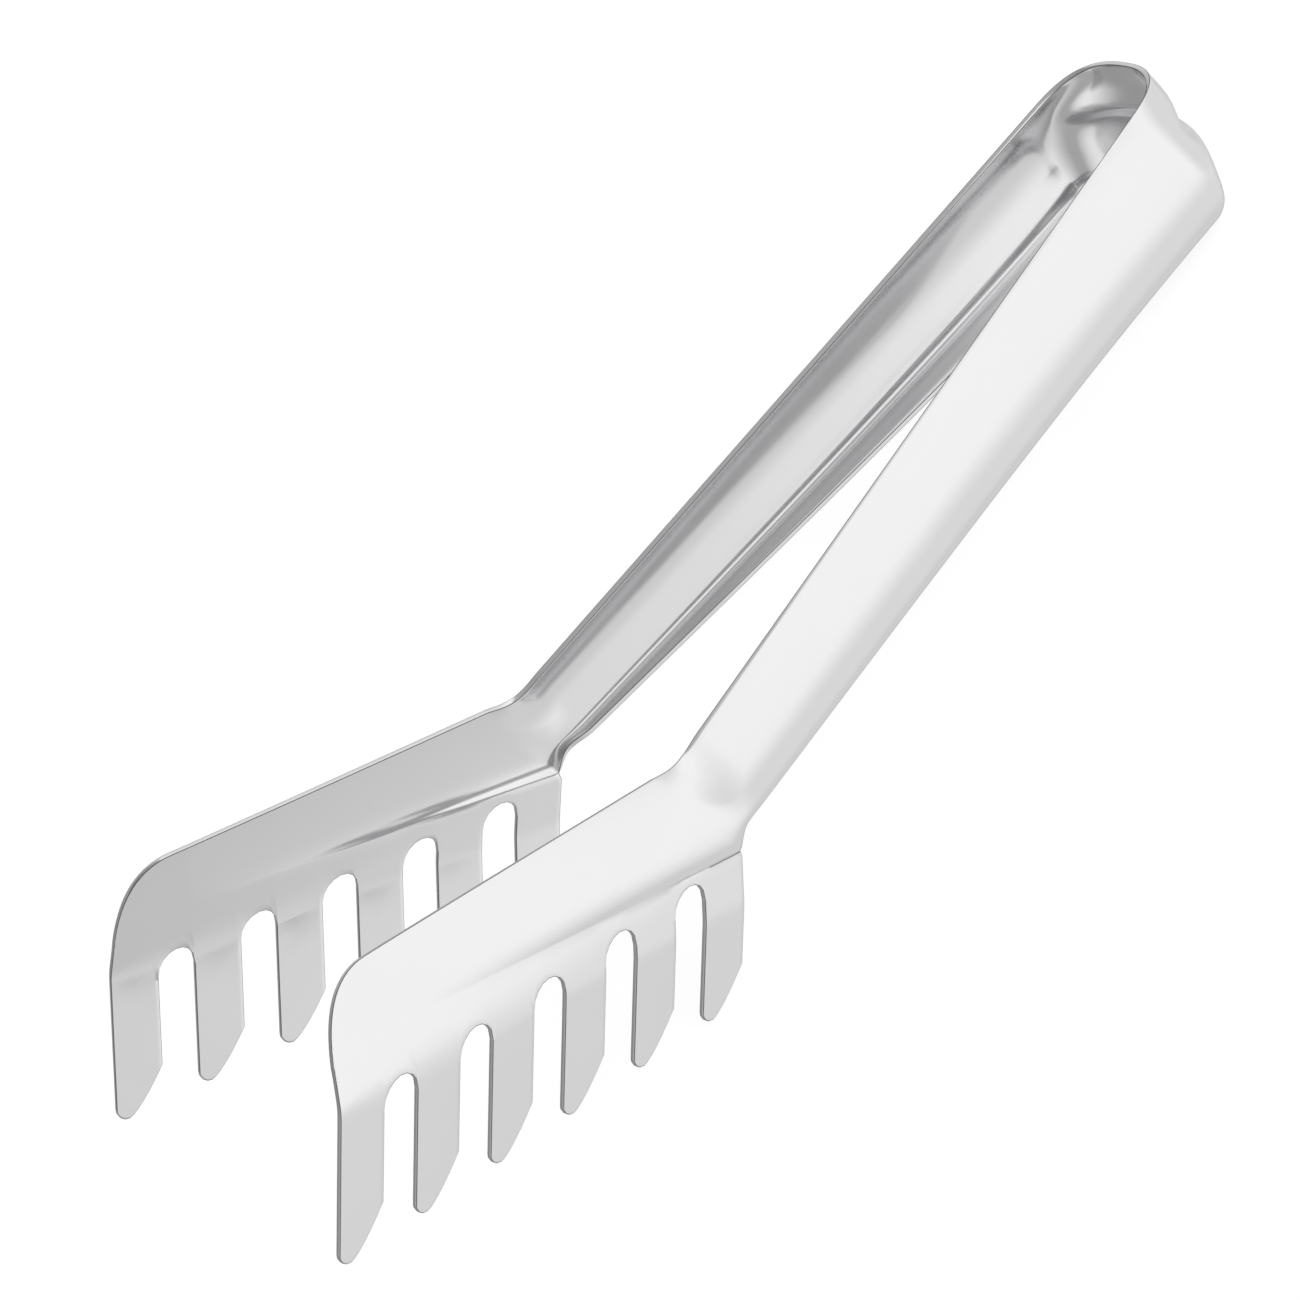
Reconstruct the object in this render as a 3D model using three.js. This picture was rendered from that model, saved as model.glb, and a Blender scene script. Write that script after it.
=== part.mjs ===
// Serving tongs for spaghetti, pressed and bent from one strip of stainless steel.
// A grooved spring bow joins two channel-shaped handles, and each handle ends in a
// comb of teeth. Millimetres and degrees, +Z up, +X from the bow towards the combs,
// +Y towards the left arm. The tongs stand teeth down, on the bow's lower edge and
// the two rear teeth, with the origin under the middle of their bounding box.
//
// Every piece is a thin formed sheet: a grid of points on the sheet's middle surface,
// thickened by half the sheet on each side. The grids are worked out in the comb
// frame, whose X runs forward along the tops of the slots, whose Y runs to the left
// and whose Z runs up, with its origin level with the middle of the comb.
import * as THREE from "three";

// The sheet
const SHEET = 0.8; // thickness of the strip
const SEAM = 0.3; // gap left between neighbouring pieces of the strip

// The combs
const TEETH = 6;
const TOOTH_PITCH = 12.5;
const TOOTH_WIDTH = 7.05;
const TOOTH_LENGTH = 19.8; // from the slot tops down to the tips
const TOOTH_SLANT = 17; // lean of the teeth towards the front
const TOOTH_BEND = 7.7; // inward turn of the teeth at the bend line
const BEND_DROP = 3; // depth of the bend line under the slot tops, mid comb
const BEND_SLOPE = 0.11; // rise of the bend line per millimetre forward
const TIP_ROUND = 1.9; // radius of a tip's front corner
const TIP_CUT = 5.2; // height of the slanted cut at a tip's rear side
const TIP_BULGE = 1.4; // power of the cut's curve, 1 for a straight cut
const COMB_HEIGHT = 15; // from the slot tops up to the top edge
const COMB_HALF_GAP = 26.7; // from the middle plane to a comb, at its middle
const COMB_FLARE = 7.7; // opening angle of each comb towards the front
const PLATE_LEAN = 3.1; // outward lean of the plate towards its foot
const TOP_CURL = 3.2; // how far the top edge turns in: curved at the rear, flat in front
const CORNER_REACH = 7; // length of the rounded front corner along the top edge
const CORNER_DROP = 9.8; // height of the rounded front corner
const CORNER_SHARE = 0.2; // share of the comb's columns that end on the rounded corner
const STEP_DEPTH = 1.5; // depth of the pressed step at the rear of a comb
const STEP_RUN = 56; // length over which the step fades out
const STEP_FADE = 1.2; // power of that fade, 1 for an even one
const STEP_MOST = 0.6; // the step stays under this share of the plate's height
const STEP_BASE = 0.4; // height of the step's foot at the rear, above the slot tops
const STEP_SLOPE = 0.0965; // rise of its foot per millimetre forward
const STEP_WIDTH = 4.5; // height of the roll from the step's foot to the plate
const STEP_ROUND = 3.5; // power of the roll: soft at the plate, sharp at the foot

// The handles
const CRANK = 26.5; // angle between the handles and the combs
const NECK_AHEAD = 4.6; // the top corner of the neck, ahead of the rear tooth's edge
const NECK_TUCK = 0.4; // how far a handle's top edge starts inside the comb's
const NECK_LENGTH = 10; // length of the blend from handle to comb
const NECK_BACK = 0.5; // share of the blend that lies behind the neck's top corner
const NECK_CLIMB = 58; // how steeply the neck's lowest line climbs from the comb
const ARM_LENGTH = 112.7; // from the neck's top corner to the middle of the bow
const ARM_HEIGHT_NECK = 13.1; // height of the channel at the neck
const ARM_HEIGHT_BOW = 19; // and at the bow
const CHANNEL_NECK = 3.3; // depth of the web outside the top edge at the neck
const CHANNEL_BOW = 5.9; // and at the bow
const CHANNEL_POWER = 4; // how late along the arm the channel deepens
const CREST_SHARE = 0.62; // share of the height down to the outermost line of the curl
const WEB_LEAN = 5.5; // inward lean of the flat web under the curl
const FLANGE_NECK = 2.2; // width of the lower flange at the neck
const FLANGE_GROWTH = 6.6; // growth of the flange along the whole arm
const FLANGE_FADE = 0.7; // share of the arm where the flange starts to narrow
const FLANGE_LEFT = 0.1; // share of the flange left at the bow
const FLANGE_DRAFT = 5; // downward slope of the flange
const FOLD_NECK = 2.4; // length of sheet in the lower fold at the neck
const FOLD_BOW = 5; // and at the bow
const FOLD_LATE = 2; // power by which the fold tightens towards the flange

// The spring bow
const BOW_HALF_WIDTH = 10.1; // from the middle plane to the top edge
const BOW_REACH = 10.1; // from the bow's middle to the top edge of its back
const BOW_HEIGHT = 20.6; // height of the strip at the back of the bow
const BOW_LEAN = 3.8; // how far the back leans in towards its lower edge
const BOW_BELLY = 0.8; // how far the strip bulges between its edges
const BOW_GROOVE = 1.1; // depth of the groove pressed round the bow
const GROOVE_PLACE = 0.33; // its share of the strip's width from the top edge
const GROOVE_WIDTH = 0.1; // its half-width, as a share of the strip's width
const BOW_SQUARENESS = 0.55; // how much squarer the upper edge's loop is
const BOW_STUB = 6; // straight length of each arm that belongs to the bow
const BOW_BLEND = 1.2; // how soon the channel's folds flatten into the bow's back

// How finely the sheets are divided
const CURL_STEPS = 5;
const WEB_STEPS = 2;
const FOLD_STEPS = 3;
const FOLD_SLICES = 20;
const FLANGE_STEPS = 1;
const ROOT_STEPS = 1;
const TOOTH_STEPS = 3;
const ROUND_COLUMNS = 2;
const CUT_COLUMNS = 2;
const SLOT_COLUMNS = 4;
const NECK_STEPS = 5;
const ARM_STEPS = 9;
const STUB_STEPS = 1;
const BOW_STEPS = 22;

const radians = THREE.MathUtils.degToRad;
const { lerp, smoothstep } = THREE.MathUtils;
const tangent = (degrees) => Math.tan(radians(degrees));

// Rows across the strip: curl and web, then fold and flange
const UPPER_ROWS = CURL_STEPS + WEB_STEPS;
const FLANGE_ROWS = FOLD_STEPS + FLANGE_STEPS;
const STRIP_ROWS = UPPER_ROWS + FLANGE_ROWS;

// Places worked out from the driving dimensions
const SLOT_RADIUS = (TOOTH_PITCH - TOOTH_WIDTH) / 2;
const REAR_EDGE = -((TEETH - 1) * TOOTH_PITCH + TOOTH_WIDTH) / 2;
const FRONT_EDGE = -REAR_EDGE;
const SLANT = tangent(TOOTH_SLANT);
const FRONT_CORNER = FRONT_EDGE - SLANT * COMB_HEIGHT;
const NECK_X = REAR_EDGE + NECK_AHEAD;
const NECK_TOP = NECK_X + NECK_LENGTH * (1 - NECK_BACK);
const CRANK_COS = Math.cos(radians(CRANK));
const CRANK_SIN = Math.sin(radians(CRANK));
const NECK_Y = combY(NECK_X, COMB_HEIGHT) - NECK_TUCK;
const ARM_SLOPE = (NECK_Y - BOW_HALF_WIDTH) / ARM_LENGTH;

// ---------------------------------------------------------------- comb surface

// Half-distance from the middle plane to the comb's sheet, at x and height z
function combY(x, z) {
  const plate = COMB_HALF_GAP + tangent(COMB_FLARE) * x - tangent(PLATE_LEAN) * z;
  const overBend = z - (BEND_SLOPE * x - BEND_DROP);
  const turnedIn = tangent(TOOTH_BEND) * Math.min(overBend, 0);
  const up = Math.max(z, 0) / COMB_HEIGHT;
  const forward = THREE.MathUtils.clamp((x - REAR_EDGE) / (FRONT_EDGE - REAR_EDGE), 0, 1);
  const curl = TOP_CURL * lerp(up ** 2, up, forward);
  return plate + turnedIn + stepAt(x, z) - curl;
}

// Height of the pressed step's foot at x
function stepZ(x) {
  return STEP_BASE + STEP_SLOPE * (x - REAR_EDGE);
}

// How far the pressed step sets the upper plate out from the teeth
function stepAt(x, z) {
  const left = THREE.MathUtils.clamp(1 - (x - REAR_EDGE) / STEP_RUN, 0, 1);
  const underTop = THREE.MathUtils.clamp(1 - (z - stepZ(x)) / STEP_WIDTH, 0, 1);
  return STEP_DEPTH * left ** STEP_FADE * (1 - underTop ** STEP_ROUND);
}

// Top end of a grid column whose foot is at x on the slot-top line: along the
// straight top edge first, then round the front corner
function columnTop(x) {
  const share = (x - REAR_EDGE) / (FRONT_EDGE - REAR_EDGE);
  const cornerStart = new THREE.Vector2(FRONT_CORNER - CORNER_REACH, COMB_HEIGHT);
  const straightShare = 1 - CORNER_SHARE;
  if (share <= straightShare) {
    const along = lerp(NECK_TOP, cornerStart.x, share / straightShare);
    return new THREE.Vector2(along, COMB_HEIGHT);
  }
  const corner = new THREE.QuadraticBezierCurve(
    cornerStart,
    new THREE.Vector2(FRONT_CORNER, COMB_HEIGHT),
    new THREE.Vector2(FRONT_CORNER + SLANT * CORNER_DROP, COMB_HEIGHT - CORNER_DROP),
  );
  return corner.getPoint((share - straightShare) / CORNER_SHARE);
}

// Point on the comb at height z, in the column whose foot is at x
function combPoint(x, z) {
  const top = columnTop(x);
  const along = z > 0 ? lerp(x, top.x, z / top.y) : x - SLANT * z;
  return new THREE.Vector3(along, combY(along, z), z);
}

// Heights of the strip's rows in a column: even down to the step, then over it
function columnHeight(x, row) {
  const top = columnTop(x).y;
  const stepTop = Math.min(stepZ(x) + STEP_WIDTH, STEP_MOST * top);
  if (row <= UPPER_ROWS) return lerp(top, stepTop, row / UPPER_ROWS);
  return stepTop - STEP_WIDTH * ((row - UPPER_ROWS) / FLANGE_ROWS);
}

// --------------------------------------------------------------- handle section

// From arm coordinates (distance back from the neck, y, height over the top edge)
// to the comb frame
function fromArm(back, y, rise) {
  const x = NECK_X - back * CRANK_COS + rise * CRANK_SIN;
  return new THREE.Vector3(x, y, COMB_HEIGHT + back * CRANK_SIN + rise * CRANK_COS);
}

// How far a share of the lower fold goes inward and down, for one unit of its length
function folded(share) {
  const start = radians(WEB_LEAN);
  const end = Math.PI / 2 + radians(FLANGE_DRAFT);
  let inward = 0;
  let down = 0;
  for (let i = 0; i < FOLD_SLICES; i++) {
    const turn = lerp(start, end, ((share * (i + 0.5)) / FOLD_SLICES) ** FOLD_LATE);
    inward += (Math.sin(turn) * share) / FOLD_SLICES;
    down += (Math.cos(turn) * share) / FOLD_SLICES;
  }
  return { inward, down };
}

// Offset outwards and rise of a row of the channel section: a curl in from the web
// to the top edge, the flat web, the lower fold and the lower flange
function channel(back, row) {
  const share = back / ARM_LENGTH;
  const depth = lerp(CHANNEL_NECK, CHANNEL_BOW, share ** CHANNEL_POWER);
  const height = lerp(ARM_HEIGHT_NECK, ARM_HEIGHT_BOW, share);
  const fade = 1 - (1 - FLANGE_LEFT) * smoothstep(share, FLANGE_FADE, 1);
  const flange = (FLANGE_NECK + FLANGE_GROWTH * share) * fade;
  const fold = lerp(FOLD_NECK, FOLD_BOW, share);
  const webFoot = height - folded(1).down * fold;
  const lean = tangent(WEB_LEAN);
  const crestDrop = CREST_SHARE * height;
  const straight = depth + lean * (webFoot - crestDrop);
  const crest = (straight + Math.sqrt(straight ** 2 - (lean * crestDrop) ** 2)) / 2;
  const curlFoot = crestDrop * (1 + (lean * crestDrop) / (2 * crest));
  if (row <= CURL_STEPS) {
    const drop = (curlFoot * row) / CURL_STEPS;
    return { out: crest * (1 - (1 - drop / crestDrop) ** 2), rise: -drop };
  }
  if (row <= UPPER_ROWS) {
    const drop = lerp(curlFoot, webFoot, (row - CURL_STEPS) / WEB_STEPS);
    return { out: depth + lean * (webFoot - drop), rise: -drop };
  }
  const draft = radians(FLANGE_DRAFT);
  const { inward, down } = folded(Math.min((row - UPPER_ROWS) / FOLD_STEPS, 1));
  const flangeLength = Math.max(flange - folded(1).inward * fold, 0);
  const beyond = Math.max((row - UPPER_ROWS - FOLD_STEPS) / FLANGE_STEPS, 0) * flangeLength;
  return {
    out: depth - inward * fold - beyond * Math.cos(draft),
    rise: -webFoot - down * fold - beyond * Math.sin(draft),
  };
}

// Half-distance from the middle plane to the arm's top edge
function armY(back) {
  return NECK_Y - ARM_SLOPE * back;
}

function armPoint(back, row) {
  const { out, rise } = channel(back, row);
  return fromArm(back, armY(back) + out, rise);
}

// How steeply a row climbs away from the comb's rear edge
function neckClimb(row) {
  const height = columnHeight(REAR_EDGE, row);
  return radians(NECK_CLIMB) * (1 - height / COMB_HEIGHT) ** 3;
}

// The neck turns the channel into the comb: share 0 is handle, share 1 is comb
function neckPoint(share, row) {
  const back = NECK_LENGTH * (NECK_BACK - share);
  const climb = neckClimb(row);
  const before = NECK_LENGTH * (1 - share);
  const onComb = combPoint(REAR_EDGE, columnHeight(REAR_EDGE, row));
  onComb.x -= before * Math.cos(climb);
  onComb.y -= tangent(COMB_FLARE) * before * Math.cos(climb);
  onComb.z += before * Math.sin(climb);
  return armPoint(back, row).lerp(onComb, smoothstep(share, 0, 1));
}

// -------------------------------------------------------------------- bow surface

// Share of the strip's width, from the top edge, at each row where the arm meets
// the bow's middle
function stripShares() {
  const lengths = [0];
  for (let row = 1; row <= STRIP_ROWS; row++) {
    const step = armPoint(ARM_LENGTH, row).distanceTo(armPoint(ARM_LENGTH, row - 1));
    lengths.push(lengths[row - 1] + step);
  }
  return lengths.map((length) => length / lengths[STRIP_ROWS]);
}

// A point round the bow: turn runs from -90 (right arm) through 0 (back) to 90
function bowPoint(turn, row, shares) {
  const share = shares[row];
  const section = channel(ARM_LENGTH, row);
  const cos = Math.max(Math.cos(radians(turn)), 0);
  const sin = Math.sin(radians(turn));
  const across = (share - GROOVE_PLACE) / GROOVE_WIDTH;
  const groove = BOW_GROOVE * Math.exp(-(across ** 2)) * smoothstep(cos, 0.2, 0.8);
  const belly = BOW_BELLY * Math.sin(Math.PI * share);
  const reach = BOW_REACH + belly - groove - BOW_LEAN * share;
  const power = 2 / (2 + BOW_SQUARENESS * (1 - share));
  const back = cos ** power;
  const taper = ARM_SLOPE * reach * back * (1 - back);
  const side = (BOW_HALF_WIDTH + section.out - groove) * Math.abs(sin) ** power - taper;
  const rise = lerp(section.rise, -BOW_HEIGHT * share, smoothstep(BOW_BLEND * cos, 0, 1));
  return fromArm(ARM_LENGTH + reach * back, Math.sign(sin) * side, rise);
}

// ------------------------------------------------------------------- sheet solids

// A closed solid from middle-surface points and quads: every point is moved half
// the sheet along its normal to both sides, and the open edges are walled
function thicken(points, quads) {
  const normals = points.map(() => new THREE.Vector3());
  for (const [a, b, c, d] of quads) {
    const across = points[c].clone().sub(points[a]);
    const normal = across.cross(points[d].clone().sub(points[b]));
    for (const corner of [a, b, c, d]) normals[corner].add(normal);
  }
  const count = points.length;
  const positions = [];
  for (const side of [1, -1]) {
    points.forEach((point, i) => {
      const shift = normals[i].clone().normalize().multiplyScalar((side * SHEET) / 2);
      positions.push(...point.clone().add(shift).toArray());
    });
  }
  const triangles = [];
  const openEdges = new Map();
  for (const [a, b, c, d] of quads) {
    triangles.push(a, b, c, a, c, d);
    triangles.push(count + a, count + c, count + b, count + a, count + d, count + c);
    for (const [from, to] of [[a, b], [b, c], [c, d], [d, a]]) {
      const twin = `${to},${from}`;
      if (openEdges.has(twin)) openEdges.delete(twin);
      else openEdges.set(`${from},${to}`, [from, to]);
    }
  }
  for (const [from, to] of openEdges.values()) {
    triangles.push(from, count + from, count + to, from, count + to, to);
  }
  const geometry = new THREE.BufferGeometry();
  geometry.setAttribute("position", new THREE.Float32BufferAttribute(positions, 3));
  geometry.setIndex(triangles);
  geometry.computeVertexNormals();
  return geometry;
}

// Grid of (columns + 1) by (rows + 1) points as points and quads
function gridSheet(columns, rows, pointAt) {
  const points = [];
  const quads = [];
  for (let i = 0; i <= columns; i++) {
    for (let j = 0; j <= rows; j++) {
      const here = points.length;
      points.push(pointAt(i, j));
      if (i > 0 && j > 0) quads.push([here, here - 1, here - rows - 2, here - rows - 1]);
    }
  }
  return { points, quads };
}

// One handle, from the comb back to the bow's stub
function handleSheet() {
  const armStart = NECK_BACK * NECK_LENGTH;
  const armEnd = ARM_LENGTH - BOW_STUB - SEAM;
  return gridSheet(NECK_STEPS + ARM_STEPS, STRIP_ROWS, (i, row) => {
    const seamShare = 1 - SEAM / (NECK_LENGTH * Math.cos(neckClimb(row)));
    if (i < NECK_STEPS) return neckPoint(seamShare * (1 - i / NECK_STEPS), row);
    return armPoint(lerp(armStart, armEnd, (i - NECK_STEPS) / ARM_STEPS), row);
  });
}

// The bow, from the left arm's stub round the back to the right arm's
function bowSheet() {
  const shares = stripShares();
  const last = 2 * STUB_STEPS + BOW_STEPS;
  return gridSheet(last, STRIP_ROWS, (i, row) => {
    const fromEnd = Math.min(i, last - i);
    if (fromEnd < STUB_STEPS) {
      const point = armPoint(ARM_LENGTH - BOW_STUB * (1 - fromEnd / STUB_STEPS), row);
      if (i > last / 2) point.y *= -1;
      return point;
    }
    return bowPoint(90 - (180 * (i - STUB_STEPS)) / BOW_STEPS, row, shares);
  });
}

// Share of a tooth's width at each of its columns: close together round the tip's
// front corner, then straight across to the rear side
function toothShare(column) {
  const roundShare = TIP_ROUND / TOOTH_WIDTH;
  if (column <= ROUND_COLUMNS) {
    return roundShare * (1 - Math.cos((Math.PI / 2) * (column / ROUND_COLUMNS)));
  }
  return lerp(roundShare, 1, (column - ROUND_COLUMNS) / CUT_COLUMNS);
}

// Feet of the comb's columns on the slot-top line, front to rear, each with the
// tooth that it lies in and its share of the tooth or slot from the front side
function combColumns() {
  const columns = [];
  for (let tooth = 0; tooth < TEETH; tooth++) {
    const front = FRONT_EDGE - tooth * TOOTH_PITCH;
    for (let i = 0; i <= ROUND_COLUMNS + CUT_COLUMNS; i++) {
      const share = toothShare(i);
      columns.push({ x: front - share * TOOTH_WIDTH, share, inTooth: true });
    }
    for (let i = 1; i < SLOT_COLUMNS && tooth < TEETH - 1; i++) {
      const share = (1 - Math.cos((Math.PI * i) / SLOT_COLUMNS)) / 2;
      const x = front - TOOTH_WIDTH - share * 2 * SLOT_RADIUS;
      columns.push({ x, share, inTooth: false });
    }
  }
  return columns;
}

// Lower end of a tooth at a share of its width: round at the front, cut at the rear
function tipHeight(share) {
  const along = share * TOOTH_WIDTH;
  if (along < TIP_ROUND) {
    const beside = TIP_ROUND - along;
    return -TOOTH_LENGTH + TIP_ROUND - Math.sqrt(TIP_ROUND ** 2 - beside ** 2);
  }
  const cutShare = (along - TIP_ROUND) / (TOOTH_WIDTH - TIP_ROUND);
  return -TOOTH_LENGTH + TIP_CUT * cutShare ** TIP_BULGE;
}

// Round top of a slot at a share of its width
function slotHeight(share) {
  const beside = SLOT_RADIUS * (2 * share - 1);
  return Math.sqrt(SLOT_RADIUS ** 2 - beside ** 2) - SLOT_RADIUS;
}

// One comb: the plate down to the roots of the teeth, then the teeth
function combSheet() {
  const columns = combColumns();
  const plateRows = STRIP_ROWS + ROOT_STEPS;
  const rows = plateRows + TOOTH_STEPS;
  const height = (column, row) => {
    if (row <= STRIP_ROWS) return columnHeight(column.x, row);
    const stepFoot = columnHeight(column.x, STRIP_ROWS);
    const root = column.inTooth ? -SLOT_RADIUS : slotHeight(column.share);
    if (row <= plateRows) return lerp(stepFoot, root, (row - STRIP_ROWS) / ROOT_STEPS);
    return lerp(root, tipHeight(column.share), (row - plateRows) / TOOTH_STEPS);
  };
  const points = [];
  const quads = [];
  let before = [];
  for (const column of columns) {
    const here = [];
    for (let row = 0; row <= (column.inTooth ? rows : plateRows); row++) {
      here.push(points.length);
      points.push(combPoint(column.x, height(column, row)));
      if (row > 0 && row < before.length && (row <= plateRows || column.share > 0)) {
        quads.push([here[row], here[row - 1], before[row - 1], before[row]]);
      }
    }
    before = here;
  }
  return { points, quads };
}

// ----------------------------------------------------------------------- assembly

// The right arm's pieces are mirror images of the left arm's
function mirrored({ points, quads }) {
  return {
    points: points.map((point) => new THREE.Vector3(point.x, -point.y, point.z)),
    quads: quads.map((quad) => quad.toReversed()),
  };
}

function steelMesh(name, { points, quads }, color, roughness) {
  const material = new THREE.MeshStandardMaterial({ color, roughness, metalness: 1 });
  const mesh = new THREE.Mesh(thicken(points, quads), material);
  mesh.name = name;
  return mesh;
}

// Height of the lowest of some points once the tongs are tilted nose up
function lowest(points, tilt) {
  const height = (point) => point.x * Math.sin(tilt) + point.z * Math.cos(tilt);
  return points.reduce((low, point) => (height(point) < height(low) ? point : low));
}

// Tilt at which the bow and the combs touch the table together
function restTilt(bowPoints, combPoints) {
  let tilt = 0;
  for (let pass = 0; pass < 10; pass++) {
    const bowFoot = lowest(bowPoints, tilt);
    const combFoot = lowest(combPoints, tilt);
    tilt = Math.atan2(bowFoot.z - combFoot.z, combFoot.x - bowFoot.x);
  }
  return tilt;
}

function meshPoints(mesh) {
  const position = mesh.geometry.getAttribute("position");
  const points = [];
  for (let i = 0; i < position.count; i++) {
    points.push(new THREE.Vector3().fromBufferAttribute(position, i));
  }
  return points;
}

const handle = handleSheet();
const comb = combSheet();
const bow = steelMesh("spring_bow", bowSheet(), 0xcfd0d2, 0.16);
const leftComb = steelMesh("left_comb", comb, 0xd6d7d9, 0.14);

const strip = new THREE.Group();
strip.add(bow);
strip.add(steelMesh("left_handle", handle, 0xdadbdc, 0.14));
strip.add(leftComb);
strip.add(steelMesh("right_handle", mirrored(handle), 0xdadbdc, 0.14));
strip.add(steelMesh("right_comb", mirrored(comb), 0xd6d7d9, 0.14));
strip.rotation.y = -restTilt(meshPoints(bow), meshPoints(leftComb));

const tongs = new THREE.Group();
tongs.add(strip);
tongs.updateMatrixWorld(true);
const box = new THREE.Box3().setFromObject(tongs, true);
const middle = box.getCenter(new THREE.Vector3());
strip.position.set(-middle.x, -middle.y, -box.min.z);

export default tongs;
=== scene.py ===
"""Spaghetti tongs bent from one strip of polished stainless steel.

The strip is drawn in three pieces that run into each other without a step: the spring
bow, and for each arm the channel-shaped handle with its comb of teeth. Each piece
starts as a flat blank, has its slots punched out, is pressed to shape, gets the
thickness of the sheet, and has its cut edges rounded.

Sizes are in millimetres and degrees in the comb's own frame: x runs forward along the
tops of the slots, y to the left, z up, from the middle of the comb. The last step of
the pressing puts every point in the frame of the model, in metres.
"""
import math

import bpy
from mathutils import Matrix, Vector


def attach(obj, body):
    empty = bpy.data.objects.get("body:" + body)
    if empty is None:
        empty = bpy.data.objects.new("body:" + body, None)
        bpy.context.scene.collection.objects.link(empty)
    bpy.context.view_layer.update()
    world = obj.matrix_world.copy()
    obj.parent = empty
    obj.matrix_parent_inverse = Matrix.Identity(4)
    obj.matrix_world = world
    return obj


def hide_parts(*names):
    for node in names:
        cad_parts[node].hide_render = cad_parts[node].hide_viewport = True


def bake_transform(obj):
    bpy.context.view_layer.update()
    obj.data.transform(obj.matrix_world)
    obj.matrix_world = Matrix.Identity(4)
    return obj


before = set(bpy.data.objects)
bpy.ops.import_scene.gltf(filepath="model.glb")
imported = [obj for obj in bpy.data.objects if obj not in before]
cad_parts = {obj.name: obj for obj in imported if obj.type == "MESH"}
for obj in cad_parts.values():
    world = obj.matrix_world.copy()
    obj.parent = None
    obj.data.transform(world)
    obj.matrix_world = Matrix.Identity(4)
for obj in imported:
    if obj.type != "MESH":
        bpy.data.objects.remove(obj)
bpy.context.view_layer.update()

# ------------------------------------------------------------------ the strip's sizes

SHEET = 0.8
EDGE_ROUND = 0.1
CUT_EDGE_ANGLE = 50
SMOOTH_ANGLE = 40

TEETH = 6
TOOTH_PITCH = 12.5
TOOTH_WIDTH = 7.05
TOOTH_LENGTH = 19.8
TOOTH_SLANT = 17
TOOTH_BEND = 7.7
BEND_DROP = 3
BEND_SLOPE = 0.11
BEND_SOFTNESS = 0.5
TIP_ROUND = 1.9
TIP_CUT = 5.2
TIP_BULGE = 1.4

COMB_HEIGHT = 15
COMB_HALF_GAP = 26.7
COMB_FLARE = 7.7
PLATE_LEAN = 3.1
TOP_CURL = 3.2
CORNER_REACH = 7
CORNER_DROP = 9.8
CORNER_SHARE = 0.2
STEP_DEPTH = 1.5
STEP_RUN = 56
STEP_FADE = 1.2
STEP_MOST = 0.6
STEP_BASE = 0.4
STEP_SLOPE = 0.0965
STEP_WIDTH = 4.5
STEP_ROUND = 3.5

CRANK = 26.5
NECK_AHEAD = 4.6
NECK_TUCK = 0.4
NECK_LENGTH = 10
NECK_BACK = 0.5
NECK_CLIMB = 58
ARM_LENGTH = 112.7
ARM_HEIGHT_NECK = 13.1
ARM_HEIGHT_BOW = 19
CHANNEL_NECK = 3.3
CHANNEL_BOW = 5.9
CHANNEL_POWER = 4
CREST_SHARE = 0.62
WEB_LEAN = 5.5
FLANGE_NECK = 2.2
FLANGE_GROWTH = 6.6
FLANGE_FADE = 0.7
FLANGE_LEFT = 0.1
FLANGE_DRAFT = 5
FLANGE_LEAST = 0.4
FOLD_NECK = 2.4
FOLD_BOW = 5
FOLD_LATE = 2

BOW_HALF_WIDTH = 10.1
BOW_REACH = 10.1
BOW_HEIGHT = 20.6
BOW_LEAN = 3.8
BOW_BELLY = 0.8
BOW_GROOVE = 1.1
GROOVE_PLACE = 0.33
GROOVE_WIDTH = 0.1
BOW_SQUARENESS = 0.55
BOW_STUB = 6
BOW_BLEND = 1.2

# Where the comb's own frame lies in the model's: tilted back onto the bow's edge
REST_TILT = 29.5613
COMB_PLACE = Vector((56.1336, 0, 28.9031))

# How finely the blanks are divided, across the strip and along it
CURL_ROWS = 18
WEB_ROWS = 12
FOLD_ROWS = 14
FOLD_SLICES = 20
FLANGE_ROWS = 6
ROOT_ROWS = 4
TOOTH_ROWS = 44
ARM_COLUMNS = 90
NECK_COLUMNS = 20
TIP_ROUND_COLUMNS = 4
TIP_CUT_COLUMNS = 8
SLOT_COLUMNS = 8
STUB_COLUMNS = 6
BOW_COLUMNS = 120

# Worked out from the sizes above
UPPER_ROWS = CURL_ROWS + WEB_ROWS
STRIP_ROWS = UPPER_ROWS + FOLD_ROWS + FLANGE_ROWS
PLATE_ROWS = STRIP_ROWS + ROOT_ROWS
COMB_ROWS = PLATE_ROWS + TOOTH_ROWS
TOOTH_COLUMNS = TIP_ROUND_COLUMNS + TIP_CUT_COLUMNS
SLOT_RADIUS = (TOOTH_PITCH - TOOTH_WIDTH) / 2
REAR_EDGE = -((TEETH - 1) * TOOTH_PITCH + TOOTH_WIDTH) / 2
FRONT_EDGE = -REAR_EDGE
SLANT = math.tan(math.radians(TOOTH_SLANT))
FRONT_CORNER = FRONT_EDGE - SLANT * COMB_HEIGHT
NECK_X = REAR_EDGE + NECK_AHEAD
NECK_TOP = NECK_X + NECK_LENGTH * (1 - NECK_BACK)
CRANK_COS = math.cos(math.radians(CRANK))
CRANK_SIN = math.sin(math.radians(CRANK))
SEAM = ARM_LENGTH - BOW_STUB


def tangent(degrees):
    return math.tan(math.radians(degrees))


def mix(a, b, share):
    return a + (b - a) * share


def clamp(value):
    return min(max(value, 0), 1)


def smoothstep(value, low=0, high=1):
    share = clamp((value - low) / (high - low))
    return share * share * (3 - 2 * share)


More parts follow.
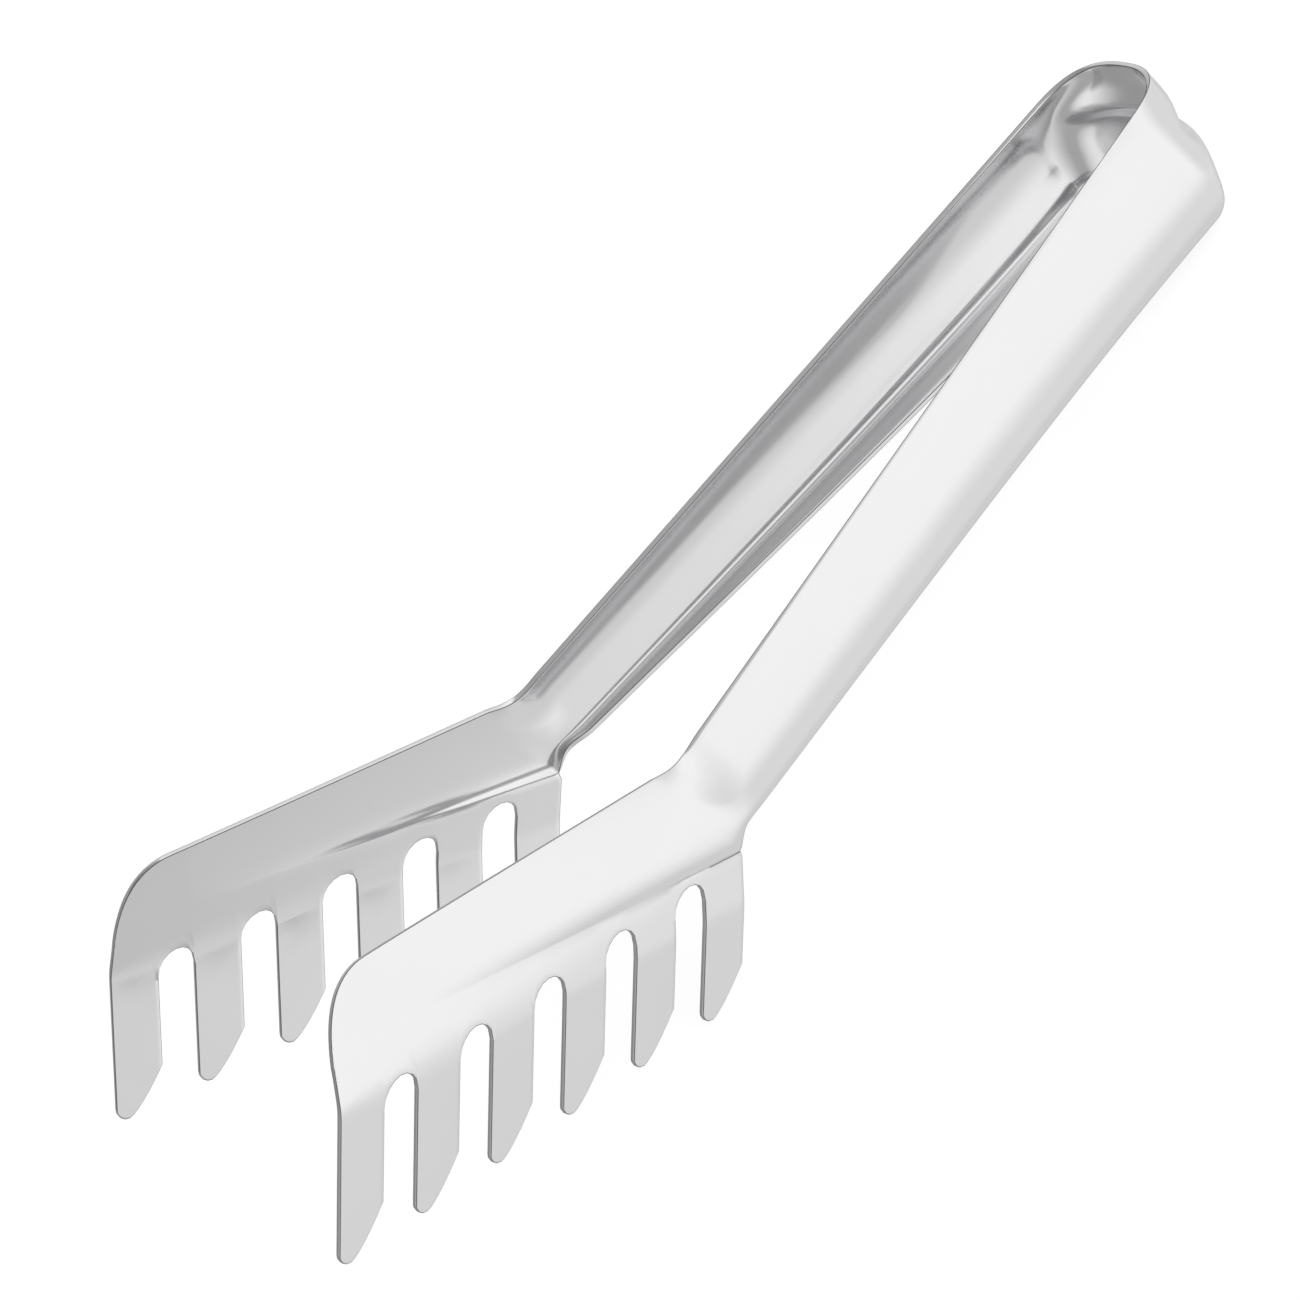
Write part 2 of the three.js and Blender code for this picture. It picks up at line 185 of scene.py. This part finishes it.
def softly_under_zero(value, softness):
    """value where it is under zero, and zero above, turning smoothly between."""
    return (value - math.hypot(value, softness)) / 2


# ------------------------------------------------------------------- the comb's surface

def comb_y(x, z):
    """Distance from the middle plane to the comb's sheet."""
    plate = COMB_HALF_GAP + tangent(COMB_FLARE) * x - tangent(PLATE_LEAN) * z
    over_bend = z - (BEND_SLOPE * x - BEND_DROP)
    turned_in = tangent(TOOTH_BEND) * softly_under_zero(over_bend, BEND_SOFTNESS)
    up = -softly_under_zero(-z, BEND_SOFTNESS) / COMB_HEIGHT
    forward = clamp((x - REAR_EDGE) / (FRONT_EDGE - REAR_EDGE))
    curl = TOP_CURL * mix(up ** 2, up, forward)
    return plate + turned_in + step_at(x, z) - curl


def step_z(x):
    return STEP_BASE + STEP_SLOPE * (x - REAR_EDGE)


def step_at(x, z):
    """How far the pressed step sets the upper plate out from the teeth."""
    left = clamp(1 - (x - REAR_EDGE) / STEP_RUN)
    under_top = clamp(1 - (z - step_z(x)) / STEP_WIDTH)
    return STEP_DEPTH * left ** STEP_FADE * (1 - under_top ** STEP_ROUND)


def column_top(x):
    """Top end of the column whose foot is at x: on the straight edge or the front corner."""
    share = (x - REAR_EDGE) / (FRONT_EDGE - REAR_EDGE)
    corner_start = FRONT_CORNER - CORNER_REACH
    if share <= 1 - CORNER_SHARE:
        return mix(NECK_TOP, corner_start, share / (1 - CORNER_SHARE)), COMB_HEIGHT
    s = (share - 1 + CORNER_SHARE) / CORNER_SHARE
    end_x = FRONT_CORNER + SLANT * CORNER_DROP
    top_x = mix(mix(corner_start, FRONT_CORNER, s), mix(FRONT_CORNER, end_x, s), s)
    return top_x, COMB_HEIGHT - CORNER_DROP * s * s


def comb_point(x, z):
    top_x, top_z = column_top(x)
    along = mix(x, top_x, z / top_z) if z > 0 else x - SLANT * z
    return Vector((along, comb_y(along, z), z))


def column_height(x, row):
    """Height of a row of the strip: even down to the step, then over the step."""
    top = column_top(x)[1]
    step_top = min(step_z(x) + STEP_WIDTH, STEP_MOST * top)
    if row <= UPPER_ROWS:
        return mix(top, step_top, row / UPPER_ROWS)
    return step_top - STEP_WIDTH * (row - UPPER_ROWS) / (STRIP_ROWS - UPPER_ROWS)


def tip_height(share):
    """Lower end of a tooth at a share of its width from the front: round, then cut."""
    along = share * TOOTH_WIDTH
    if along < TIP_ROUND:
        beside = TIP_ROUND - along
        return TIP_ROUND - TOOTH_LENGTH - math.sqrt(TIP_ROUND ** 2 - beside ** 2)
    cut_share = (along - TIP_ROUND) / (TOOTH_WIDTH - TIP_ROUND)
    return TIP_CUT * cut_share ** TIP_BULGE - TOOTH_LENGTH


def slot_height(share):
    """Round top of a slot at a share of its width."""
    beside = SLOT_RADIUS * (2 * share - 1)
    return math.sqrt(max(SLOT_RADIUS ** 2 - beside ** 2, 0)) - SLOT_RADIUS


def lower_height(column, row):
    """Height of a row under the strip, in a tooth or in the root above a slot."""
    foot = column_height(column["x"], STRIP_ROWS)
    root = -SLOT_RADIUS if column["tooth"] else slot_height(column["share"])
    if row <= PLATE_ROWS:
        return mix(foot, root, (row - STRIP_ROWS) / ROOT_ROWS)
    return mix(root, tip_height(column["share"]), (row - PLATE_ROWS) / TOOTH_ROWS)


# --------------------------------------------------------- the handle's channel section

NECK_Y = comb_y(NECK_X, COMB_HEIGHT) - NECK_TUCK
ARM_SLOPE = (NECK_Y - BOW_HALF_WIDTH) / ARM_LENGTH


def from_arm(back, y, rise):
    """From distance back from the neck and rise over the top edge to the comb's frame."""
    x = NECK_X - back * CRANK_COS + rise * CRANK_SIN
    return Vector((x, y, COMB_HEIGHT + back * CRANK_SIN + rise * CRANK_COS))


def folded(share):
    """How far a share of the lower fold goes inward and down, for one unit of its length."""
    start = math.radians(WEB_LEAN)
    end = math.radians(90 + FLANGE_DRAFT)
    turns = [mix(start, end, (share * (i + 0.5) / FOLD_SLICES) ** FOLD_LATE)
             for i in range(FOLD_SLICES)]
    inward = sum(math.sin(turn) for turn in turns) * share / FOLD_SLICES
    down = sum(math.cos(turn) for turn in turns) * share / FOLD_SLICES
    return inward, down


WHOLE_FOLD = folded(1)


def channel(back, row):
    """Offset outwards and rise of a row: curl, flat web, lower fold, lower flange."""
    share = back / ARM_LENGTH
    depth = mix(CHANNEL_NECK, CHANNEL_BOW, share ** CHANNEL_POWER)
    height = mix(ARM_HEIGHT_NECK, ARM_HEIGHT_BOW, share)
    fade = 1 - (1 - FLANGE_LEFT) * smoothstep(share, FLANGE_FADE, 1)
    flange = (FLANGE_NECK + FLANGE_GROWTH * share) * fade
    fold = mix(FOLD_NECK, FOLD_BOW, share)
    web_foot = height - WHOLE_FOLD[1] * fold
    lean = tangent(WEB_LEAN)
    crest_drop = CREST_SHARE * height
    straight = depth + lean * (web_foot - crest_drop)
    crest = (straight + math.sqrt(straight ** 2 - (lean * crest_drop) ** 2)) / 2
    curl_foot = crest_drop * (1 + lean * crest_drop / (2 * crest))
    if row <= CURL_ROWS:
        drop = curl_foot * row / CURL_ROWS
        return crest * (1 - (1 - drop / crest_drop) ** 2), -drop
    if row <= UPPER_ROWS:
        drop = mix(curl_foot, web_foot, (row - CURL_ROWS) / WEB_ROWS)
        return depth + lean * (web_foot - drop), -drop
    draft = math.radians(FLANGE_DRAFT)
    inward, down = folded(min((row - UPPER_ROWS) / FOLD_ROWS, 1))
    straight = max(flange - WHOLE_FOLD[0] * fold, FLANGE_LEAST)
    beyond = max((row - UPPER_ROWS - FOLD_ROWS) / FLANGE_ROWS, 0) * straight
    out = depth - inward * fold - beyond * math.cos(draft)
    return out, -web_foot - down * fold - beyond * math.sin(draft)


def arm_point(back, row):
    out, rise = channel(back, row)
    return from_arm(back, NECK_Y - ARM_SLOPE * back + out, rise)


def neck_point(share, row):
    """The neck turns the channel (share 0) into the comb (share 1)."""
    height = column_height(REAR_EDGE, row)
    climb = math.radians(NECK_CLIMB) * (1 - height / COMB_HEIGHT) ** 3
    rear = comb_point(REAR_EDGE, height)
    ahead = comb_point(REAR_EDGE + 1, column_height(REAR_EDGE + 1, row))
    before = NECK_LENGTH * (1 - share)
    on_comb = rear + (rear - ahead) * (before * math.cos(climb))
    on_comb.z += before * math.sin(climb)
    handle = arm_point(NECK_LENGTH * (NECK_BACK - share), row)
    return handle.lerp(on_comb, smoothstep(share))


# ---------------------------------------------------------------------- the spring bow

def strip_shares():
    """Share of the strip's width at each row, where the arms meet the bow."""
    points = [arm_point(ARM_LENGTH, row) for row in range(STRIP_ROWS + 1)]
    lengths = [0]
    for before, here in zip(points, points[1:]):
        lengths.append(lengths[-1] + (here - before).length)
    return [length / lengths[-1] for length in lengths]


SHARES = strip_shares()


def bow_point(turn, row):
    """A point round the bow: turn runs from -90 at the right arm to 90 at the left."""
    share = SHARES[row]
    out, rise = channel(ARM_LENGTH, row)
    cos = max(math.cos(math.radians(turn)), 0)
    across = (share - GROOVE_PLACE) / GROOVE_WIDTH
    groove = BOW_GROOVE * math.exp(-across * across) * smoothstep(cos, 0.2, 0.8)
    belly = BOW_BELLY * math.sin(math.pi * share)
    reach = BOW_REACH + belly - groove - BOW_LEAN * share
    power = 2 / (2 + BOW_SQUARENESS * (1 - share))
    sin = math.sin(math.radians(turn))
    back = cos ** power
    taper = ARM_SLOPE * reach * back * (1 - back)
    side = (BOW_HALF_WIDTH + out - groove) * abs(sin) ** power - taper
    height = mix(rise, -BOW_HEIGHT * share, smoothstep(BOW_BLEND * cos))
    return from_arm(ARM_LENGTH + reach * back, math.copysign(side, sin), height)


# --------------------------------------------------------------- blanks and the press

def comb_columns():
    """Feet of the comb's columns, rear to front, each in a tooth or in a slot."""
    columns = []
    for tooth in range(TEETH - 1, -1, -1):
        front = FRONT_EDGE - tooth * TOOTH_PITCH
        for i in range(TOOTH_COLUMNS, -1, -1):
            share = tooth_share(i)
            columns.append({"x": front - share * TOOTH_WIDTH, "share": share, "tooth": True})
        for i in range(1, SLOT_COLUMNS):
            if tooth == 0:
                break
            share = (1 + math.cos(math.pi * i / SLOT_COLUMNS)) / 2
            x = front + (1 - share) * 2 * SLOT_RADIUS
            columns.append({"x": x, "share": share, "tooth": False})
    return columns


def tooth_share(column):
    """Share of a tooth's width from its front side, close together round the tip."""
    round_share = TIP_ROUND / TOOTH_WIDTH
    if column <= TIP_ROUND_COLUMNS:
        return round_share * (1 - math.cos(math.pi / 2 * column / TIP_ROUND_COLUMNS))
    return mix(round_share, 1, (column - TIP_ROUND_COLUMNS) / TIP_CUT_COLUMNS)


COLUMNS = comb_columns()
HANDLE_COLUMNS = ARM_COLUMNS + NECK_COLUMNS


def pressed_arm(column, row):
    """Where a point of the left arm's blank goes."""
    if column > HANDLE_COLUMNS:
        at = COLUMNS[column - HANDLE_COLUMNS]
    else:
        at = COLUMNS[0]
    if row > STRIP_ROWS:
        return comb_point(at["x"], lower_height(at, row))
    if column >= HANDLE_COLUMNS:
        return comb_point(at["x"], column_height(at["x"], row))
    if column >= ARM_COLUMNS:
        return neck_point((column - ARM_COLUMNS) / NECK_COLUMNS, row)
    return arm_point(mix(SEAM, NECK_BACK * NECK_LENGTH, column / ARM_COLUMNS), row)


def pressed_bow(column, row):
    """Where a point of the bow's blank goes, from the right arm round to the left."""
    last = BOW_COLUMNS + 2 * STUB_COLUMNS
    from_end = min(column, last - column)
    if from_end < STUB_COLUMNS:
        point = arm_point(ARM_LENGTH - BOW_STUB * (1 - from_end / STUB_COLUMNS), row)
        if column < STUB_COLUMNS:
            point.y = -point.y
        return point
    return bow_point(180 * (column - STUB_COLUMNS) / BOW_COLUMNS - 90, row)


def punched_out(column, row):
    """Whether the blank's cell between this column and row and the next is waste."""
    if row < STRIP_ROWS:
        return False
    if column < HANDLE_COLUMNS:
        return True
    here, ahead = COLUMNS[column - HANDLE_COLUMNS:column - HANDLE_COLUMNS + 2]
    in_slot = not (here["tooth"] and ahead["tooth"])
    return in_slot and row >= PLATE_ROWS


def only(obj):
    """Makes obj the one selected and active object."""
    bpy.ops.object.select_all(action="DESELECT")
    obj.select_set(True)
    bpy.context.view_layer.objects.active = obj


def blank(name, columns, rows):
    """A flat blank, one metre square, divided into columns along x and rows along y."""
    bpy.ops.mesh.primitive_grid_add(x_subdivisions=columns, y_subdivisions=rows, size=1)
    piece = bpy.context.object
    piece.name = name
    piece.data.name = name
    return piece


def cell(position, columns, rows):
    """Column and row of a place on the blank; rows count from the top edge down."""
    return (position.x + 0.5) * columns, (0.5 - position.y) * rows


def punch(piece, columns, rows):
    """Punches the slots and the waste beside the comb out of the blank."""
    only(piece)
    bpy.ops.object.mode_set(mode="EDIT")
    bpy.ops.mesh.select_mode(type="FACE")
    bpy.ops.mesh.select_all(action="DESELECT")
    bpy.ops.object.mode_set(mode="OBJECT")
    for face in piece.data.polygons:
        column, row = cell(face.center, columns, rows)
        face.select = punched_out(math.floor(column), math.floor(row))
    bpy.ops.object.mode_set(mode="EDIT")
    bpy.ops.mesh.delete(type="FACE")
    bpy.ops.object.mode_set(mode="OBJECT")


def to_model(point, side=1):
    """From the comb's frame in millimetres to the model's frame in metres."""
    turned = Matrix.Rotation(math.radians(-REST_TILT), 3, "Y") @ point + COMB_PLACE
    return Vector((turned.x, turned.y * side, turned.z)) / 1000


def press(piece, columns, rows, shape, side=1):
    """Presses every point of the blank to its place."""
    for vertex in piece.data.vertices:
        column, row = cell(vertex.co, columns, rows)
        vertex.co = to_model(shape(round(column), round(row)), side)
    only(piece)
    bpy.ops.object.mode_set(mode="EDIT")
    bpy.ops.mesh.select_all(action="SELECT")
    bpy.ops.mesh.normals_make_consistent(inside=False)
    bpy.ops.object.mode_set(mode="OBJECT")


def give_thickness(piece):
    """Thickens the sheet to both sides."""
    only(piece)
    solid = piece.modifiers.new("sheet", "SOLIDIFY")
    solid.thickness = SHEET / 1000
    solid.offset = 0
    bpy.ops.object.modifier_apply(modifier=solid.name)


def seam_points(sides):
    """Points of the seams where the arms run into the bow's stubs."""
    return [to_model(arm_point(SEAM, row), side) for side in sides for row in range(STRIP_ROWS + 1)]


def round_edges(piece, seam):
    """Rounds the cut edges, but leaves them sharp at the seams, so that no seam shows."""
    only(piece)
    bpy.ops.object.mode_set(mode="EDIT")
    bpy.ops.mesh.select_mode(type="EDGE")
    bpy.ops.mesh.select_all(action="DESELECT")
    bpy.ops.mesh.edges_select_sharp(sharpness=math.radians(CUT_EDGE_ANGLE))
    bpy.ops.object.mode_set(mode="OBJECT")
    reach = SHEET / 1000
    for edge in piece.data.edges:
        if not edge.select:
            continue
        ends = [piece.data.vertices[i].co for i in edge.vertices]
        near = [min((end - point).length for point in seam) < reach for end in ends]
        if all(near):
            edge.select = False
    bpy.ops.object.mode_set(mode="EDIT")
    bpy.ops.mesh.bevel(offset=EDGE_ROUND / 1000, segments=2, affect="EDGES", material=1)
    bpy.ops.object.mode_set(mode="OBJECT")


def finish_sheet(piece, sides):
    """Gives a pressed blank its steel, its thickness, its rounded edges and its shading."""
    piece.data.materials.append(POLISHED)
    piece.data.materials.append(CUT_EDGE)
    give_thickness(piece)
    round_edges(piece, seam_points(sides))
    only(piece)
    bpy.ops.object.shade_smooth_by_angle(angle=math.radians(SMOOTH_ANGLE))


# -------------------------------------------------------------------------- materials

def noise(nodes, links, place, scale, detail, stretch=(1, 1, 1)):
    """Noise of a scale per metre on a piece's own place, stretched along its axes."""
    fit = nodes.new("ShaderNodeMapping")
    fit.inputs["Scale"].default_value = stretch
    links.new(place, fit.inputs["Vector"])
    texture = nodes.new("ShaderNodeTexNoise")
    texture.inputs["Scale"].default_value = scale
    texture.inputs["Detail"].default_value = detail
    links.new(fit.outputs["Vector"], texture.inputs["Vector"])
    return texture.outputs["Fac"]


def spread(nodes, links, value, low, high, start=0.3, end=0.7):
    """Brings a noise between start and end to the range from low to high."""
    fit = nodes.new("ShaderNodeMapRange")
    fit.inputs["From Min"].default_value = start
    fit.inputs["From Max"].default_value = end
    fit.inputs["To Min"].default_value = low
    fit.inputs["To Max"].default_value = high
    links.new(value, fit.inputs["Value"])
    return fit.outputs["Result"]


def bump(nodes, links, height, depth, under=None):
    """Raises the surface by a height pattern, depth metres from low to high."""
    raised = nodes.new("ShaderNodeBump")
    raised.inputs["Distance"].default_value = depth
    links.new(height, raised.inputs["Height"])
    if under is not None:
        links.new(under, raised.inputs["Normal"])
    return raised.outputs["Normal"]


def steel(name):
    """A bare steel, with its nodes, its links, its shader and its own place."""
    material = bpy.data.materials.new(name)
    material.use_nodes = True
    nodes, links = material.node_tree.nodes, material.node_tree.links
    shader = nodes["Principled BSDF"]
    shader.inputs["Metallic"].default_value = 1
    place = nodes.new("ShaderNodeTexCoord").outputs["Object"]
    return material, nodes, links, shader, place


def tint(nodes, links, pattern, low, high, shader):
    """Colours the steel from low to high by a pattern."""
    colour = nodes.new("ShaderNodeMix")
    colour.data_type = "RGBA"
    colour.inputs["A"].default_value = low
    colour.inputs["B"].default_value = high
    links.new(pattern, colour.inputs["Factor"])
    links.new(colour.outputs["Result"], shader.inputs["Base Color"])


# Patterns are as fine as so many to the metre; depths are in metres
POLISH_LINES = 900
POLISH_STRETCH = (0.06, 1, 1)
POLISH_DEPTH = 0.0000012
SMUDGES = 60
PRESS_WAVES = 38
WAVE_DEPTH = 0.00012
STEEL_TONES = (0.79, 0.79, 0.80, 1), (0.83, 0.83, 0.835, 1)
EDGE_GRAIN = 1500
EDGE_TONES = (0.16, 0.16, 0.16, 1), (0.3, 0.3, 0.3, 1)


def polished_sheet(name):
    """Polished sheet: faint lines along the strip, soft smudges, and the press's waves."""
    material, nodes, links, shader, place = steel(name)
    lines = noise(nodes, links, place, POLISH_LINES, 3, POLISH_STRETCH)
    smudges = noise(nodes, links, place, SMUDGES, 2)
    waves = noise(nodes, links, place, PRESS_WAVES, 1)
    roughness = nodes.new("ShaderNodeMath")
    roughness.operation = "ADD"
    links.new(spread(nodes, links, lines, 0.11, 0.15), roughness.inputs[0])
    links.new(spread(nodes, links, smudges, 0, 0.05), roughness.inputs[1])
    links.new(roughness.outputs["Value"], shader.inputs["Roughness"])
    tint(nodes, links, smudges, *STEEL_TONES, shader)
    wavy = bump(nodes, links, waves, WAVE_DEPTH)
    links.new(bump(nodes, links, lines, POLISH_DEPTH, wavy), shader.inputs["Normal"])
    return material


def sheared_edge(name):
    """The darker, duller line that the punch leaves along the sheet's edges."""
    material, nodes, links, shader, place = steel(name)
    grain = noise(nodes, links, place, EDGE_GRAIN, 2)
    links.new(spread(nodes, links, grain, 0.35, 0.5), shader.inputs["Roughness"])
    tint(nodes, links, grain, *EDGE_TONES, shader)
    return material


POLISHED = polished_sheet("polished_stainless")
CUT_EDGE = sheared_edge("sheared_edge_stainless")


# --------------------------------------------------------------------------- assembly

def make_arm(name, side):
    """The left arm (side 1) or the right (side -1): handle and comb in one."""
    columns = HANDLE_COLUMNS + len(COLUMNS) - 1
    piece = blank(name, columns, COMB_ROWS)
    punch(piece, columns, COMB_ROWS)
    press(piece, columns, COMB_ROWS, pressed_arm, side)
    finish_sheet(piece, [side])
    return piece


def make_bow(name):
    """The spring bow, with a stub of each arm."""
    columns = BOW_COLUMNS + 2 * STUB_COLUMNS
    piece = blank(name, columns, STRIP_ROWS)
    press(piece, columns, STRIP_ROWS, pressed_bow)
    finish_sheet(piece, [1, -1])
    return piece


bow = make_bow("bow_sheet")
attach(bow, "bow")
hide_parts("spring_bow")

for side, hand in ((1, "left"), (-1, "right")):
    arm = make_arm(hand + "_arm_sheet", side)
    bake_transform(arm)
    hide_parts(hand + "_handle", hand + "_comb")


# --------------------------------------------------------------- floor, light, camera

# The floor lies just under the rounded tips of the rear teeth, and glows to the camera only,
# up to the white of the studio behind it
UNDER_TIPS = 0.0002
FLOOR_SIZE = 6
FLOOR_GREY = 0.5
FLOOR_GLOW = 0.77


def make_floor():
    bpy.ops.mesh.primitive_plane_add(size=FLOOR_SIZE, location=(0, 0, -UNDER_TIPS))
    bpy.ops.object.transform_apply(location=True)
    floor = bpy.context.object
    floor.name = "floor"
    material = bpy.data.materials.new("pale_floor")
    material.use_nodes = True
    nodes, links = material.node_tree.nodes, material.node_tree.links
    paint = nodes["Principled BSDF"]
    paint.inputs["Base Color"].default_value = (FLOOR_GREY, FLOOR_GREY, FLOOR_GREY, 1)
    paint.inputs["Roughness"].default_value = 1
    paint.inputs["Specular IOR Level"].default_value = 0
    glow = nodes.new("ShaderNodeEmission")
    rays = nodes.new("ShaderNodeLightPath")
    seen = nodes.new("ShaderNodeMath")
    seen.operation = "MULTIPLY"
    seen.inputs[1].default_value = FLOOR_GLOW
    links.new(rays.outputs["Is Camera Ray"], seen.inputs[0])
    links.new(seen.outputs["Value"], glow.inputs["Strength"])
    both = nodes.new("ShaderNodeAddShader")
    links.new(paint.outputs["BSDF"], both.inputs[0])
    links.new(glow.outputs["Emission"], both.inputs[1])
    links.new(both.outputs["Shader"], nodes["Material Output"].inputs["Surface"])
    floor.data.materials.append(material)
    floor.visible_glossy = False


make_floor()

# The studio that the steel mirrors: a pale wall, with a greyer floor, ceiling, front, back and
# right side, and a soft lamp straight ahead of the combs. Where one runs into the next is
# given by how far up, forward or to the left one looks, from -1 to 1. A dark card hangs high
# over the combs.
WALL_LIGHT = 1.1
FLOOR_LIGHT = 0.75
CEILING_LIGHT = 1
FRONT_LIGHT = 0.45
LAMP_LIGHT = 0.55
BACK_LIGHT = 0.85
RIGHT_SHARE = 0.5
CARD_SHARE = 0.45
FLOOR_TO_WALL = (-0.85, -0.35)
WALL_TO_CEILING = (0.85, 1)
WALL_TO_FRONT = (-0.4, 0.55)
FRONT_TO_LAMP = (0.8, 1)
BACK_TO_WALL = (-0.8, -0.6)
RIGHT_TO_LEFT = (-1, -0.1)
CARD_UP = 0.7
CARD_FORWARD = -0.45
CARD_BLUR = 0.03


def fade(nodes, links, value, span, start, end):
    """Runs from start to end as a value goes over a span, and stays level outside it."""
    run = nodes.new("ShaderNodeMapRange")
    run.inputs["From Min"].default_value = span[0]
    run.inputs["From Max"].default_value = span[1]
    run.inputs["To Min"].default_value = start
    run.inputs["To Max"].default_value = end
    links.new(value, run.inputs["Value"])
    return run.outputs["Result"]


def joined(nodes, links, operation, first, second):
    """Two values made one by an operation."""
    join = nodes.new("ShaderNodeMath")
    join.operation = operation
    links.new(first, join.inputs[0])
    links.new(second, join.inputs[1])
    return join.outputs["Value"]


def make_world():
    """The studio for the steel, and plain white for the camera."""
    world = bpy.data.worlds.new("studio")
    bpy.context.scene.world = world
    world.use_nodes = True
    nodes, links = world.node_tree.nodes, world.node_tree.links
    split = nodes.new("ShaderNodeSeparateXYZ")
    links.new(nodes.new("ShaderNodeTexCoord").outputs["Generated"], split.inputs["Vector"])
    forward, left, up = split.outputs["X"], split.outputs["Y"], split.outputs["Z"]
    front = fade(nodes, links, forward, WALL_TO_FRONT, WALL_LIGHT, FRONT_LIGHT)
    lamp = fade(nodes, links, forward, FRONT_TO_LAMP, 0, LAMP_LIGHT)
    light = fade(nodes, links, up, FLOOR_TO_WALL, FLOOR_LIGHT, WALL_LIGHT)
    for limit in (
            fade(nodes, links, up, WALL_TO_CEILING, WALL_LIGHT, CEILING_LIGHT),
            joined(nodes, links, "ADD", front, lamp),
            fade(nodes, links, forward, BACK_TO_WALL, BACK_LIGHT, WALL_LIGHT)):
        light = joined(nodes, links, "MINIMUM", light, limit)
    side = fade(nodes, links, left, RIGHT_TO_LEFT, RIGHT_SHARE, 1)
    light = joined(nodes, links, "MULTIPLY", light, side)
    over = fade(nodes, links, up, (CARD_UP - CARD_BLUR, CARD_UP + CARD_BLUR), 0, 1)
    ahead = (CARD_FORWARD - CARD_BLUR, CARD_FORWARD + CARD_BLUR)
    card = joined(nodes, links, "MULTIPLY", over, fade(nodes, links, forward, ahead, 0, 1))
    light = joined(nodes, links, "MULTIPLY", light, fade(nodes, links, card, (0, 1), 1, CARD_SHARE))
    shown = nodes.new("ShaderNodeMapRange")
    links.new(nodes.new("ShaderNodeLightPath").outputs["Is Camera Ray"], shown.inputs["Value"])
    links.new(light, shown.inputs["To Min"])
    shown.inputs["To Max"].default_value = 1
    background = nodes["Background"]
    background.inputs["Color"].default_value = (1, 1, 1, 1)
    links.new(shown.outputs["Result"], background.inputs["Strength"])


make_world()

CAMERA_PLACE = (0.11698, 0.44372, 0.33642)
CAMERA_TURN = (45.544, 36.832, 135.875)
CAMERA_LENS = 112.84
CAMERA_SENSOR = 36
turn = [math.radians(angle) for angle in CAMERA_TURN]
bpy.ops.object.camera_add(location=CAMERA_PLACE, rotation=turn)
camera = bpy.context.object
camera.data.lens = CAMERA_LENS
camera.data.sensor_width = CAMERA_SENSOR
bpy.context.scene.camera = camera

bpy.context.scene.view_settings.view_transform = "Standard"
